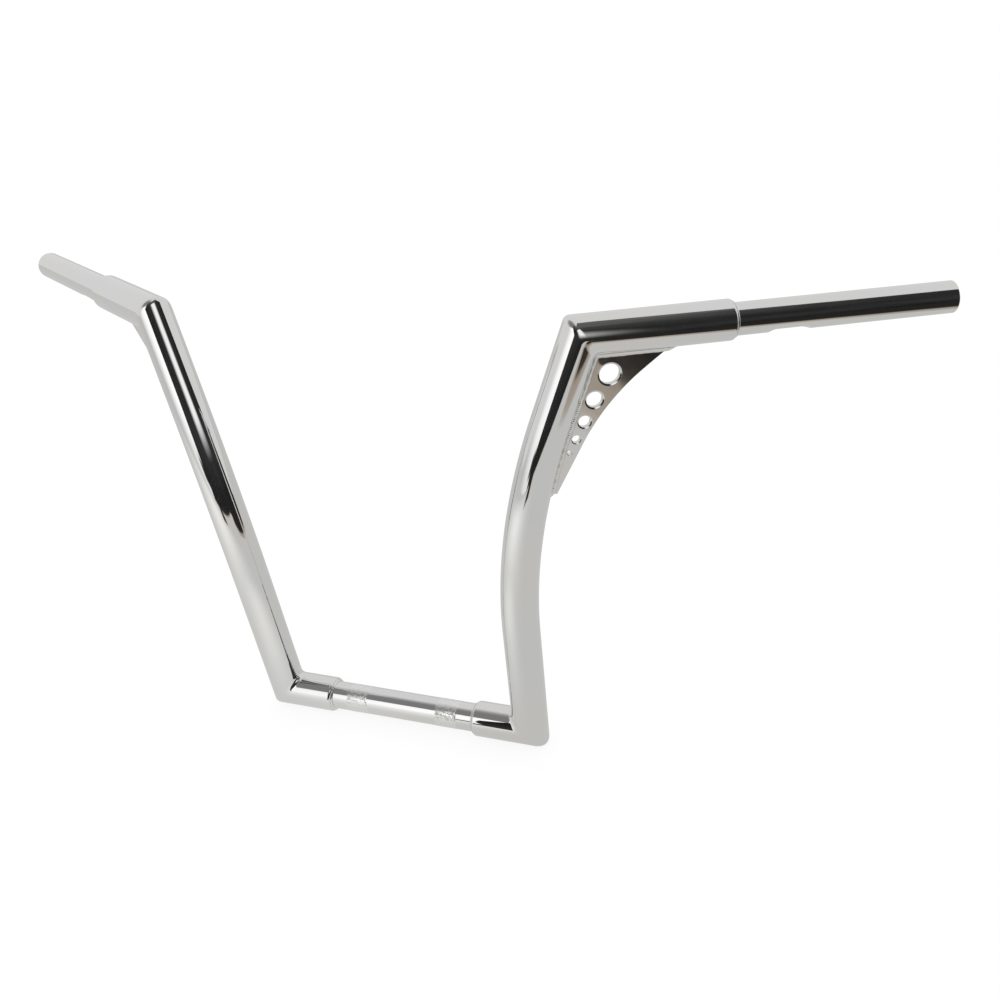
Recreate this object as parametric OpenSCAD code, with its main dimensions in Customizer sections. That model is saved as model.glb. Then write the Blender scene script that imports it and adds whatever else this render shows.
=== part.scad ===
// Ape hanger handlebar, millimetres.
// Origin: middle of the clamp tube, on its axis. +X to the rider's right hand seen in the
// photograph, +Y back towards the rider, +Z up. The clamp tube lies along X, the two risers
// stand on its ends, bend back and outwards, and carry the swept arms and grips.

/* [Slim tube] */
// Outside diameter of the clamp tube and of the grips, one inch
slim_od = 25.4; // [22.2:0.1:28]
// Wall of the clamp tube and of the grips
slim_wall = 2.1; // [1.6:0.1:2.5]
// Radial cut that turns down each end of a slim tube that slips into a fat one
spigot_cut = 0.2; // [0.2:0.05:0.4]

/* [Fat tube] */
// Outside diameter of the stubs, the risers and the arms, one and a quarter inches
fat_od = 31.75; // [30:0.05:38.1]
// Radial clearance between a turned-down spigot and the fat tube that it slips into
socket_gap = 0.125; // [0.05:0.025:0.3]
// Rounding of the fat tube's open ends, where the slim tubes come out
shoulder_round = 2.5; // [0.5:0.1:3]
// Rounding of the outer point of each mitred corner
corner_round = 6; // [2:0.5:12]

/* [Clamp tube] */
// Bare length of the clamp tube between the two stubs
clamp_gap = 142.5; // [120:0.5:170]
// Length of the clamp tube inside each stub
clamp_insert = 30; // [10:1:32]
// Distance between the middles of the two knurled bands
band_spacing = 89.5; // [60:0.5:95]
// Width of each knurled band
band_w = 21; // [10:1:24]
// How far the knurl stands out of the tube
band_rise = 0.2; // [0.2:0.05:0.4]

/* [Risers] */
// Distance between the two lower corners, where the tube axes meet
base_w = 246; // [230:1:300]
// Outward lean of the straight foot of each riser
foot_lean = 2.8; // [0:0.1:8]
// Length of the straight foot of each riser
foot_run = 113; // [60:1:180]
// Radius of the long bend, at the tube's axis
bend_r = 466; // [200:1:600]
// Angle that the long bend turns through
bend_angle = 23.8; // [10:0.1:35]
// Heading of the bend: 0 is straight outwards, 90 is straight back
bend_heading = 45.6; // [20:0.1:80]
// Length of the straight top of each riser
top_run = 74; // [50:1:120]
// How much thinner in radius the tube draws down round the bend
bend_draw = 0.02; // [0.01:0.01:0.1]

/* [Arms and grips] */
// Backward sweep of the arm, from straight outwards
arm_sweep = 33.3; // [10:0.1:50]
// Downward slope of the arm
arm_droop = 7.1; // [0:0.1:20]
// Length of the arm, from the upper corner to the shoulder
arm_run = 119; // [100:1:160]
// Length of the grip outside the arm
grip_run = 182.5; // [150:0.5:230]
// Length of the grip tube inside the arm
grip_insert = 40; // [20:1:60]
// Rounding of the outer edge of the open bar end
end_round = 0.8; // [0.2:0.1:1.2]
// Depth to which the bar end is reamed for a bar-end plug
ream_depth = 45; // [20:1:80]
// Radial cut of the reamer, which takes off the seam inside the tube
ream_cut = 0.2; // [0.2:0.05:0.4]

/* [Wiring dimple] */
// Distance from the shoulder to the shallow end of the dimple pressed under each grip
dimple_start = 23; // [10:1:60]
// Length of the dimple's sloping floor
dimple_run = 30; // [15:1:50]
// Depth of the dimple at its deep end
dimple_depth = 2.1; // [1:0.1:3]
// Radius of the round-nosed tool that pressed the dimple
dimple_tool_r = 8; // [5:0.5:10]
// Angle of the dimple round the grip, forward from straight down
dimple_turn = 33; // [0:1:60]

/* [Gussets] */
// Thickness of the plate that braces each upper corner
gusset_t = 4.8; // [3:0.1:8]
// Reach of the plate along the arm, from the upper corner
gusset_arm_leg = 68; // [50:1:95]
// Height of the blunt tip under the arm
gusset_tip_w = 1.2; // [0.5:0.1:4]
// Reach of the plate down the riser, from the upper corner
gusset_riser_leg = 129; // [110:1:160]
// Width of the plate's foot, from the line of the straight riser
gusset_foot_w = 7.9; // [6:0.1:14]
// Angle between the arm and the upper stretch of the free edge
gusset_arm_angle = 37.8; // [30:0.1:45]
// Angle between the riser and the lower stretch of the free edge
gusset_riser_angle = 8.3; // [4:0.1:14]
// Radius that joins the two stretches of the free edge
gusset_edge_r = 170; // [40:5:200]
// Number of lightening holes
hole_count = 5; // [1:1:5]
// Diameter of the largest lightening hole, in the corner
hole_d = 18; // [16:0.5:20]
// Difference in diameter from each hole to the next
hole_step = 3.5; // [3:0.1:3.8]
// Distance down the riser from the upper corner to the largest hole
hole_drop = 24; // [20:0.5:30]
// Web between the largest hole and the riser
hole_corner_web = 7.3; // [4:0.1:9]
// Web between each smaller hole and the riser
hole_web = 4.3; // [3:0.1:5]
// Bridge between one hole and the next, measured down the riser
hole_bridge = 6.2; // [4:0.1:9]

/* [Welds] */
// Leg of the fine bead round each slim tube at the fat tube's shoulder
ring_leg = 1.6; // [1:0.1:2.2]
// Leg of the bead along both faces of each gusset
bead_leg = 2.5; // [1.5:0.1:3.5]
// How far the blobs at the ends of a bead stand past its leg
blob_rise = 0.4; // [0.2:0.1:1]

/* [Hidden] */
// Steps in a full turn of a tube, of a bead and of the long bend
round_steps = 64;
bead_steps = 32;
bend_steps = 360;
$fn = round_steps;
RIGHT = 0;
LEFT = 1;
CHROME = [0.80, 0.80, 0.79];
BEAD = [0.70, 0.70, 0.69];
// Overshoot of a cut past the face that it opens
cut_over = 1;
slim_r = slim_od / 2;
slim_bore_r = slim_r - slim_wall;
spigot_r = slim_r - spigot_cut;
fat_r = fat_od / 2;
fat_bore_r = spigot_r + socket_gap;
fat_wall = fat_r - fat_bore_r;
shoulder_r = min(shoulder_round, 0.9 * fat_wall);
corner_r = min(corner_round, 0.9 * fat_r);
// Angle by which the long bend runs into the straights at its ends
bend_lap = 0.1;
// Extra length that a tube runs past its corner before the mitre trims it
mitre_over = 2 * fat_od;

// Directions of the tubes on the right-hand side, and the points where their axes meet
function unit(v) = v / norm(v);
function square_to(v, axis) = unit(v - (v * axis) * axis);
lower_corner = [base_w / 2, 0, 0];
foot_dir = [sin(foot_lean), 0, cos(foot_lean)];
bend_in = square_to([cos(bend_heading), sin(bend_heading), 0], foot_dir);
bend_start = lower_corner + foot_run * foot_dir;
top_dir = cos(bend_angle) * foot_dir + sin(bend_angle) * bend_in;
bend_centre = bend_start + bend_r * bend_in;
bend_out = cos(bend_angle) * bend_in - sin(bend_angle) * foot_dir;
bend_end = bend_centre - bend_r * bend_out;
upper_corner = bend_end + top_run * top_dir;
arm_dir = [cos(arm_sweep) * cos(arm_droop), sin(arm_sweep) * cos(arm_droop), -sin(arm_droop)];
arm_end = upper_corner + arm_run * arm_dir;

// The gusset's own flat frame: x along the arm, y square to it and downwards
elbow = acos(-top_dir * arm_dir);
plate_down = square_to(-top_dir, arm_dir);
riser_flat = [cos(elbow), sin(elbow)];
inward_flat = [sin(elbow), -cos(elbow)];
function beside_riser(down, out) = down * riser_flat + (fat_r + out) * inward_flat;
tip = [gusset_arm_leg, fat_r + gusset_tip_w];
tip_dir = [-cos(gusset_arm_angle), sin(gusset_arm_angle)];
foot = beside_riser(gusset_riser_leg, gusset_foot_w);
foot_edge_dir = -cos(gusset_riser_angle) * riser_flat + sin(gusset_riser_angle) * inward_flat;
function cross_flat(a, b) = a[0] * b[1] - a[1] * b[0];
edge_corner = tip + cross_flat(foot - tip, foot_edge_dir) / cross_flat(tip_dir, foot_edge_dir) * tip_dir;
edge_turn = acos(-tip_dir * foot_edge_dir);
edge_room = 0.9 * min(norm(edge_corner - tip), norm(edge_corner - foot));
edge_r = min(gusset_edge_r, edge_room / tan(edge_turn / 2));
edge_run = edge_r * tan(edge_turn / 2);
edge_start = edge_corner - edge_run * tip_dir;
edge_stop = edge_corner - edge_run * foot_edge_dir;
edge_centre = edge_start + edge_r * [sin(gusset_arm_angle), cos(gusset_arm_angle)];

// Lightening holes: each one a step smaller, and a bridge further down the riser
function hole_size(i) = hole_d - i * hole_step;
function hole_down(i) =
    i == 0 ? hole_drop : hole_down(i - 1) + (hole_size(i - 1) + hole_size(i)) / 2 + hole_bridge;
function hole_out(i) = hole_size(i) / 2 + (i == 0 ? hole_corner_web : hole_web);

// Where a plate face meets the fat tube's skin, as an angle and as a distance from the axis
skin_angle = asin(gusset_t / 2 / fat_r);
skin_r = fat_r * cos(skin_angle);
// The gusset's direction round the riser: 0 is towards the centre of the bend
plate_heading = atan2(arm_dir * cross(-bend_out, top_dir), arm_dir * bend_out);
blob_r = bead_leg + blob_rise;
// How far the gusset reaches past the straight top of the riser, round the bend
bead_sweep = (gusset_riser_leg - top_run) / bend_r * 180 / PI;
crotch_run = fat_r / tan(elbow / 2);

// Right-handed frame from its origin, its x axis and its y axis
module in_frame(origin, x, y) {
    z = cross(x, y);
    multmatrix([
        [x[0], y[0], z[0], origin[0]],
        [x[1], y[1], z[1], origin[1]],
        [x[2], y[2], z[2], origin[2]],
        [0, 0, 0, 1]
    ]) children();
}

// Stands the children's z axis along a direction, with their x axis as near straight down as it goes
module standing(origin, direction) {
    x = square_to([0, 0.001, -1], direction);
    in_frame(origin, x, cross(direction, x)) children();
}

// The right-hand piece as drawn, or its mirror image
module on_side(side) {
    if (side == LEFT) mirror([1, 0, 0]) children();
    else children();
}

// A corner's frame: x square to the mitre towards the first leg, y out through the corner's point
module corner_frame(corner, leg_a, leg_b) {
    in_frame(corner, unit(leg_a - leg_b), -unit(leg_a + leg_b)) children();
}

// Everything beyond the mitre on the second leg's side, and the outer point past its rounding
module mitre_waste(corner, leg_a, leg_b) {
    half = acos(leg_a * leg_b) / 2;
    round_y = (fat_r - corner_r) / sin(half);
    corner_frame(corner, leg_a, leg_b) {
        translate([-2 * mitre_over, -2 * mitre_over, -2 * mitre_over])
            cube([2 * mitre_over, 4 * mitre_over, 4 * mitre_over]);
        linear_extrude(height = fat_od + 2 * cut_over, center = true) difference() {
            translate([-fat_od, round_y + corner_r * sin(half)]) square([2 * fat_od, fat_od]);
            translate([0, round_y]) circle(corner_r);
        }
    }
}

// Half section of a tube from z = 0 to its length, with its outer edge rounded at z = 0
module rounded_section(length, outer, inner, round) {
    difference() {
        union() {
            translate([0, round]) square([outer, length - round]);
            square([outer - round, round]);
            translate([outer - round, round]) circle(round);
        }
        translate([0, -cut_over]) square([inner, length + 2 * cut_over]);
    }
}

// Fat tube with its open, rounded shoulder at z = 0
module shouldered_tube(length) {
    rotate_extrude() rounded_section(length, fat_r, fat_bore_r, shoulder_r);
}

// The long bend's frame: its centre, x towards the foot of the bend, y up along the foot
module bend_frame() {
    in_frame(bend_centre, -bend_in, foot_dir) children();
}

// The same frame turned on to the top of the bend, so that y runs up along the straight top
module top_frame() {
    bend_frame() rotate([0, 0, bend_angle]) children();
}

// One round bar along the riser's whole path, past both corners. The bend is drawn a hair thinner
// than the straights, as a tube is, and runs a little way into both of them.
module riser_path(radius) {
    bend_frame() {
        translate([bend_r, 0, 0]) rotate([90, 0, 0])
            cylinder(r = radius, h = foot_run + mitre_over);
        rotate_extrude(angle = bend_angle + 2 * bend_lap, start = -bend_lap, $fn = bend_steps)
            translate([bend_r, 0]) circle(radius - bend_draw, $fn = round_steps);
    }
    top_frame() translate([bend_r, 0, 0]) rotate([-90, 0, 0])
        cylinder(r = radius, h = top_run + mitre_over);
}

module clamp_tube() {
    length = clamp_gap + 2 * clamp_insert;
    color(CHROME) rotate([0, 90, 0]) difference() {
        union() {
            cylinder(r = spigot_r, h = length, center = true);
            cylinder(r = slim_r, h = clamp_gap - 2 * ring_leg, center = true);
            for (side = [-1, 1]) translate([0, 0, side * band_spacing / 2])
                cylinder(r = slim_r + band_rise, h = band_w, center = true);
        }
        cylinder(r = slim_bore_r, h = length + 2 * cut_over, center = true);
    }
}

module lower_stub(side) {
    color(CHROME) on_side(side) difference() {
        translate([clamp_gap / 2, 0, 0]) rotate([0, 90, 0])
            shouldered_tube((base_w - clamp_gap) / 2 + mitre_over);
        mitre_waste(lower_corner, [-1, 0, 0], foot_dir);
    }
}

module riser(side) {
    color(CHROME) on_side(side) difference() {
        riser_path(fat_r);
        riser_path(fat_bore_r);
        mitre_waste(lower_corner, foot_dir, [-1, 0, 0]);
        mitre_waste(upper_corner, -top_dir, arm_dir);
    }
}

module arm(side) {
    color(CHROME) on_side(side) difference() {
        standing(arm_end, -arm_dir) shouldered_tube(arm_run + mitre_over);
        mitre_waste(upper_corner, arm_dir, -top_dir);
    }
}

// The round-nosed tool lying in the dimple, or the skin that it pushes into the tube
module dimple_tool(radius) {
    slope = atan(dimple_depth / dimple_run);
    rotate([0, 0, -dimple_turn])
        translate([slim_r - dimple_depth + dimple_tool_r, 0, grip_insert + dimple_start + dimple_run])
            rotate([0, 180 - slope, 0]) {
                cylinder(r = radius, h = 3 * dimple_run);
                sphere(radius);
            }
}

module grip_tube(side) {
    length = grip_insert + grip_run;
    turned = grip_insert + ring_leg;
    color(CHROME) on_side(side) standing(arm_end - grip_insert * arm_dir, arm_dir) difference() {
        union() {
            rotate_extrude() translate([slim_bore_r, 0]) square([spigot_r - slim_bore_r, turned]);
            translate([0, 0, length]) mirror([0, 0, 1]) rotate_extrude()
                rounded_section(length - turned, slim_r, slim_bore_r, end_round);
            intersection() {
                dimple_tool(dimple_tool_r + slim_wall);
                cylinder(r = slim_bore_r + slim_wall / 2, h = length - ream_depth);
            }
        }
        dimple_tool(dimple_tool_r);
        translate([0, 0, length - ream_depth])
            cylinder(r = slim_bore_r + ream_cut, h = ream_depth + cut_over);
    }
}

module gusset_outline() {
    difference() {
        polygon([
            [0, 0], [gusset_arm_leg, 0], tip, edge_start, edge_stop, foot,
            beside_riser(gusset_riser_leg, -fat_r)
        ]);
        translate(edge_centre) circle(edge_r, $fn = 256);
        for (i = [0 : hole_count - 1])
            translate(beside_riser(hole_down(i), hole_out(i))) circle(d = hole_size(i));
    }
}

module gusset_plate() {
    in_frame(upper_corner, arm_dir, plate_down)
        linear_extrude(height = gusset_t, center = true) gusset_outline();
}

// The fat tubes that the plate and its weld are fitted to, without their bores
module corner_tubes() {
    riser_path(fat_r);
    standing(upper_corner, arm_dir) cylinder(r = fat_r, h = arm_run - shoulder_r);
}

module gusset(side) {
    color(CHROME) on_side(side) difference() {
        gusset_plate();
        corner_tubes();
    }
}

// Bead under the arm, on one face of the plate, from the crotch to the tip
module arm_bead(face) {
    in_frame(upper_corner, arm_dir, plate_down)
        translate([crotch_run, skin_r, face * gusset_t / 2]) rotate([0, 90, 0]) {
            cylinder(r = bead_leg, h = gusset_arm_leg - crotch_run);
            sphere(blob_r);
            translate([0, 0, gusset_arm_leg - crotch_run]) sphere(blob_r);
        }
}

// Bead along the riser, on one face of the plate: straight first, then round the bend to the foot
module riser_bead(face) {
    heading = plate_heading + face * skin_angle;
    section = [bend_r - fat_r * cos(heading), fat_r * sin(heading)];
    top_frame() {
        translate([section[0], 0, section[1]]) rotate([-90, 0, 0])
            cylinder(r = bead_leg, h = top_run - crotch_run);
        rotate_extrude(angle = bead_sweep, start = -bead_sweep, $fn = bend_steps)
            translate(section) circle(bead_leg, $fn = bead_steps);
        rotate([0, 0, -bead_sweep]) translate([section[0], 0, section[1]]) sphere(blob_r);
    }
}

// Bead across an end of the plate, from one face to the other
module end_bead(place) {
    in_frame(upper_corner, arm_dir, plate_down) translate([place[0], place[1], 0])
        cylinder(r = bead_leg, h = gusset_t, center = true);
}

module gusset_weld(side) {
    color(BEAD) on_side(side) difference() {
        union() {
            for (face = [-1, 1]) {
                arm_bead(face);
                riser_bead(face);
            }
            end_bead([gusset_arm_leg, skin_r]);
        }
        corner_tubes();
        gusset_plate();
    }
}

// Bead in the groove between the fat tube's end face and the slim tube's full diameter
module weld_ring() {
    rotate_extrude() {
        translate([spigot_r, 0]) square([spigot_cut, ring_leg]);
        intersection() {
            translate([slim_r, 0]) circle(ring_leg);
            translate([slim_r, 0]) square(2 * ring_leg);
        }
    }
}

module stub_weld(side) {
    color(BEAD) on_side(side) translate([clamp_gap / 2, 0, 0]) rotate([0, -90, 0]) weld_ring();
}

module grip_weld(side) {
    color(BEAD) on_side(side) standing(arm_end, arm_dir) weld_ring();
}

clamp_tube();
lower_stub(LEFT);  // left_lower_stub
lower_stub(RIGHT);  // right_lower_stub
riser(LEFT);  // left_riser
riser(RIGHT);  // right_riser
arm(LEFT);  // left_arm
arm(RIGHT);  // right_arm
grip_tube(LEFT);  // left_grip_tube
grip_tube(RIGHT);  // right_grip_tube
gusset(LEFT);  // left_gusset
gusset(RIGHT);  // right_gusset
gusset_weld(LEFT);  // left_gusset_weld
gusset_weld(RIGHT);  // right_gusset_weld
stub_weld(LEFT);  // left_stub_weld
stub_weld(RIGHT);  // right_stub_weld
grip_weld(LEFT);  // left_grip_weld
grip_weld(RIGHT);  // right_grip_weld
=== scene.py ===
"""Looks of the ape hanger handlebar: chrome plate, knurl, welds, studio and camera."""
import math
import bpy
import numpy as np
from mathutils import Matrix, Vector, geometry


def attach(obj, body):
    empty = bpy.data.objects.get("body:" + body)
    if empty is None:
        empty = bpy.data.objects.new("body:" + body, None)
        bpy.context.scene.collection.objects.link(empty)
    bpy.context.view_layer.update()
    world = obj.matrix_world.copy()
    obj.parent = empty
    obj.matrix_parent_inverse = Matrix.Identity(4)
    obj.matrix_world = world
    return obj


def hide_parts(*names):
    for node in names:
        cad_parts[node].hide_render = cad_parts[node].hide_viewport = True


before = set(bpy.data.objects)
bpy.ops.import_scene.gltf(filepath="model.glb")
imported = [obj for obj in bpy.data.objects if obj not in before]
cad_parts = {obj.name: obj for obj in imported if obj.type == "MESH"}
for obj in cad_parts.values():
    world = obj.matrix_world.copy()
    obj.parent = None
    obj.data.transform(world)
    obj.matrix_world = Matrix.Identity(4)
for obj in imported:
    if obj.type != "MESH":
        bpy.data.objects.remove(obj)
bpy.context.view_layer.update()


# Camera of the photograph
EYE = Vector((0.483115, -0.746490, 0.789604))
EYE_RIGHT = Vector((0.928536, 0.348083, -0.129069))
EYE_UP = Vector((-0.094264, 0.557335, 0.824919))
LENS = 45.71


def add_camera():
    camera = bpy.data.objects.new("camera", bpy.data.cameras.new("camera"))
    bpy.context.scene.collection.objects.link(camera)
    camera.data.lens = LENS
    camera.data.sensor_width = 36
    camera.data.clip_end = 50
    back = EYE_RIGHT.cross(EYE_UP)
    camera.matrix_world = Matrix.Translation(EYE) @ Matrix((EYE_RIGHT, EYE_UP, back)).transposed().to_4x4()
    bpy.context.scene.camera = camera


# Small helpers for node trees
def add_node(tree, kind, **values):
    node = tree.nodes.new(kind)
    for name, value in values.items():
        setattr(node, name, value)
    return node


def feed(tree, socket, value):
    if hasattr(value, "is_linked"):
        tree.links.new(value, socket)
    else:
        socket.default_value = value


def math_node(tree, operation, *values):
    node = add_node(tree, "ShaderNodeMath", operation=operation)
    for socket, value in zip(node.inputs, values):
        feed(tree, socket, value)
    return node.outputs[0]


def ease(tree, value, start, stop, low=0.0, high=1.0):
    node = add_node(tree, "ShaderNodeMapRange", interpolation_type="SMOOTHSTEP")
    for name, given in (("Value", value), ("From Min", start), ("From Max", stop), ("To Min", low), ("To Max", high)):
        feed(tree, node.inputs[name], given)
    return node.outputs["Result"]


def blend_values(tree, factor, a, b):
    node = add_node(tree, "ShaderNodeMix", data_type="FLOAT")
    feed(tree, node.inputs[0], factor)
    feed(tree, node.inputs[2], a)
    feed(tree, node.inputs[3], b)
    return node.outputs[0]


# Studio
SKY_LEVEL, SKY_DUSK_LEVEL = 0.76, 0.22
SKY_DUSK = Vector((-0.375, -0.375, 0.848))
FLOOR_Z, FLOOR_MATT = -0.016, 0.2
SHEET_SEEN = 1.05
ROOM_LEFT, ROOM_RIGHT = -0.35, 1.60
ROOM_FRONT, ROOM_BACK, ROOM_BACK_HIGH = -1.55, 0.46, 1.40
ROOM_FLOOR, ROOM_SHOULDER, ROOM_TOP = -0.40, 2.1, 5.0
WINDOW_LEVEL, LIGHT_LEVEL = 1.05, 1.25
# Height in the room and how light its dark walls are there
ROOM_SHADES = [(-0.4, 0.019), (0.2, 0.019), (0.5, 0.034), (0.75, 0.032), (1.0, 0.023), (1.3, 0.027), (1.7, 0.040),
               (2.3, 0.066), (2.8, 0.11), (3.5, 0.13)]
# Distance past the sheet's edge and the colour there
SHEET_SHADES = [(-0.065, (0.62, 0.62, 0.61)), (-0.015, (0.45, 0.39, 0.33)), (0.05, (0.39, 0.33, 0.275)),
                (0.08, (0.05, 0.044, 0.04)), (0.16, (0.022, 0.021, 0.020))]
# Painted pools of light on the sheet, seen in the chrome: centre, radius and how much light they add
PAINTED_LIGHT_POOLS = [((-0.50, -0.70), 0.95, 0.60), ((-0.06, -0.16), 0.22, 0.28)]


def ramp(tree, value, start, stop, stops):
    """Colour that runs through the stops as the value goes from start to stop."""
    place = add_node(tree, "ShaderNodeMapRange")
    for name, given in (("Value", value), ("From Min", start), ("From Max", stop)):
        feed(tree, place.inputs[name], given)
    node = add_node(tree, "ShaderNodeValToRGB")
    elements = node.color_ramp.elements
    elements.remove(elements[1])
    for k, (where, colour) in enumerate(stops):
        position = (where - start) / (stop - start)
        if k == 0:
            elements[0].position = position
        else:
            elements.new(position)
        elements[k].color = (*colour, 1) if isinstance(colour, tuple) else (colour, colour, colour, 1)
    tree.links.new(place.outputs["Result"], node.inputs[0])
    return node.outputs[0]


def light_the_world():
    """White to the camera; in reflections a pale room with a dusky patch high up on the left."""
    world = bpy.data.worlds.new("studio")
    bpy.context.scene.world = world
    world.use_nodes = True
    tree = world.node_tree
    tree.nodes.clear()
    path = add_node(tree, "ShaderNodeLightPath")
    place = add_node(tree, "ShaderNodeTexCoord")
    near = add_node(tree, "ShaderNodeVectorMath", operation="DOT_PRODUCT")
    tree.links.new(place.outputs["Generated"], near.inputs[0])
    near.inputs[1].default_value = SKY_DUSK
    level = ease(tree, near.outputs["Value"], 0.72, 1.0, SKY_LEVEL, SKY_DUSK_LEVEL)
    back = add_node(tree, "ShaderNodeBackground")
    back.inputs["Color"].default_value = (1, 1, 1, 1)
    feed(tree, back.inputs["Strength"], blend_values(tree, path.outputs["Is Glossy Ray"], 1.0, level))
    out = add_node(tree, "ShaderNodeOutputWorld")
    tree.links.new(back.outputs[0], out.inputs[0])


def stage_mesh(name, corners):
    mesh = bpy.data.meshes.new(name)
    mesh.from_pydata(corners, [], [list(range(len(corners)))])
    thing = bpy.data.objects.new(name, mesh)
    bpy.context.scene.collection.objects.link(thing)
    return thing


def stage_material(name):
    material = bpy.data.materials.new(name)
    material.use_nodes = True
    material.node_tree.nodes.clear()
    material.cycles.emission_sampling = "NONE"
    return material, material.node_tree


def finish_surface(tree, shader):
    out = add_node(tree, "ShaderNodeOutputMaterial")
    tree.links.new(shader, out.inputs[0])


def mix_shaders(tree, factor, a, b):
    node = add_node(tree, "ShaderNodeMixShader")
    feed(tree, node.inputs[0], factor)
    tree.links.new(a, node.inputs[1])
    tree.links.new(b, node.inputs[2])
    return node.outputs[0]


def stage_place(tree):
    split = add_node(tree, "ShaderNodeSeparateXYZ")
    tree.links.new(add_node(tree, "ShaderNodeTexCoord").outputs["Object"], split.inputs[0])
    return [split.outputs[axis] for axis in "XYZ"]


def past_sheet(tree, x, y):
    """How far a point of the floor lies outside the pale sheet: right of its edge, in front, or on a dark tongue."""
    edge = 0.68
    for slope, start in ((-0.22, 0.655), (-0.60, 0.478), (-1.30, -0.08), (3.0, 0.08)):
        edge = math_node(tree, "MAXIMUM", math_node(tree, "MULTIPLY_ADD", y, slope, start), edge)
    right = math_node(tree, "SUBTRACT", x, edge)
    front = math_node(tree, "MINIMUM", math_node(tree, "SUBTRACT", -1.50, y), math_node(tree, "ADD", x, 0.40))
    off_tongue = math_node(tree, "SUBTRACT", math_node(tree, "ABSOLUTE", math_node(tree, "SUBTRACT", x, 0.0)), 0.13)
    off_tongue = math_node(tree, "MAXIMUM", off_tongue, math_node(tree, "ADD", y, 1.02))
    tongue = math_node(tree, "MULTIPLY", off_tongue, -2.5)
    return math_node(tree, "MAXIMUM", right, math_node(tree, "MAXIMUM", front, tongue))


def add_floor():
    """A white sheet to the camera; to the chrome it is duller, lighter on the left where pools of light are painted on
    it, and ends at a brown edge.
    """
    corners = [(-4, ROOM_FRONT, FLOOR_Z), (ROOM_RIGHT, ROOM_FRONT, FLOOR_Z), (ROOM_RIGHT, 5, FLOOR_Z), (-4, 5, FLOOR_Z)]
    floor = stage_mesh("floor", corners)
    material, tree = stage_material("floor")
    seen = add_node(tree, "ShaderNodeLightPath").outputs["Is Camera Ray"]
    x, y, _ = stage_place(tree)
    shades = ramp(tree, past_sheet(tree, x, y), SHEET_SHADES[0][0], SHEET_SHADES[-1][0], SHEET_SHADES)
    dull = add_node(tree, "ShaderNodeEmission")
    tree.links.new(shades, dull.inputs["Color"])
    # Painted pools of light raise the sheet's glow round each centre
    light = 1.0
    for (pool_x, pool_y), radius, gain in PAINTED_LIGHT_POOLS:
        across, along = math_node(tree, "SUBTRACT", x, pool_x), math_node(tree, "SUBTRACT", y, pool_y)
        far = math_node(tree, "SQRT", math_node(tree, "ADD", math_node(tree, "MULTIPLY", across, across),
                                                math_node(tree, "MULTIPLY", along, along)))
        light = math_node(tree, "ADD", light, ease(tree, far, radius, 0.0, 0.0, gain))
    tree.links.new(light, dull.inputs["Strength"])
    white = add_node(tree, "ShaderNodeEmission")
    white.inputs["Strength"].default_value = SHEET_SEEN
    matt = add_node(tree, "ShaderNodeBsdfDiffuse")
    matt.inputs["Color"].default_value = (0.9, 0.9, 0.9, 1)
    shown = mix_shaders(tree, FLOOR_MATT, white.outputs[0], matt.outputs[0])
    finish_surface(tree, mix_shaders(tree, seen, dull.outputs[0], shown))
    floor.data.materials.append(material)


def card(name, corners, level):
    """A flat thing that only reflections see; level(tree, x, y, z) makes its brightness."""
    thing = stage_mesh(name, corners)
    thing.visible_camera = thing.visible_diffuse = thing.visible_shadow = thing.visible_transmission = False
    material, tree = stage_material(name)
    glow = add_node(tree, "ShaderNodeEmission")
    feed(tree, glow.inputs["Strength"], level(tree, *stage_place(tree)))
    clear = add_node(tree, "ShaderNodeBsdfTransparent")
    behind = add_node(tree, "ShaderNodeNewGeometry").outputs["Backfacing"]
    finish_surface(tree, mix_shaders(tree, behind, glow.outputs[0], clear.outputs[0]))
    thing.data.materials.append(material)


def room_level(tree, x, y, z):
    shades = ramp(tree, z, ROOM_SHADES[0][0], ROOM_SHADES[-1][0], ROOM_SHADES)
    streaks = add_node(tree, "ShaderNodeTexNoise", noise_dimensions="1D")
    feed(tree, streaks.inputs["W"], math_node(tree, "ADD", x, y))
    streaks.inputs["Scale"].default_value = 3.1
    return math_node(tree, "MULTIPLY", shades, ease(tree, streaks.outputs["Fac"], 0.3, 0.7, 0.8, 1.15))


WINDOW = [Vector((0.652, -0.214)), Vector((0.355, -0.84))]
WINDOW_LOW, WINDOW_HIGH = 0.36, 1.0


def window_level(tree, x, y, z):
    side = math_node(tree, "DIVIDE", math_node(tree, "SUBTRACT", y, WINDOW[0].y), WINDOW[1].y - WINDOW[0].y)
    shape = math_node(tree, "MULTIPLY", ease(tree, side, 0.0, 0.26), ease(tree, side, 1.0, 0.50))
    shape = math_node(tree, "MULTIPLY", shape, ease(tree, z, WINDOW_LOW, WINDOW_LOW + 0.26))
    return math_node(tree, "MULTIPLY_ADD", shape, WINDOW_LEVEL, 0.03)


def light_level(tree, x, y, z):
    """Brightest at its right end and dark in a low corner there."""
    level = math_node(tree, "MULTIPLY", ease(tree, x, ROOM_LEFT - 0.15, -2.4, LIGHT_LEVEL, SKY_LEVEL),
                      ease(tree, z, 0.0, 0.7, 0.74, 1.0))
    corner = math_node(tree, "MULTIPLY", ease(tree, z, 0.04, 0.10), ease(tree, z, 0.30, 0.20))
    corner = math_node(tree, "MULTIPLY", corner, ease(tree, x, -0.63, -0.54))
    return math_node(tree, "MULTIPLY", level, math_node(tree, "MULTIPLY_ADD", corner, -0.96, 1.0))


def stub_level(tree, x, y, z):
    return ease(tree, y, -0.22, -0.04, 0.035, 0.015)


def upright(start, stop, low, high):
    return [(*start, low), (*stop, low), (*stop, high), (*start, high)]


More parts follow.
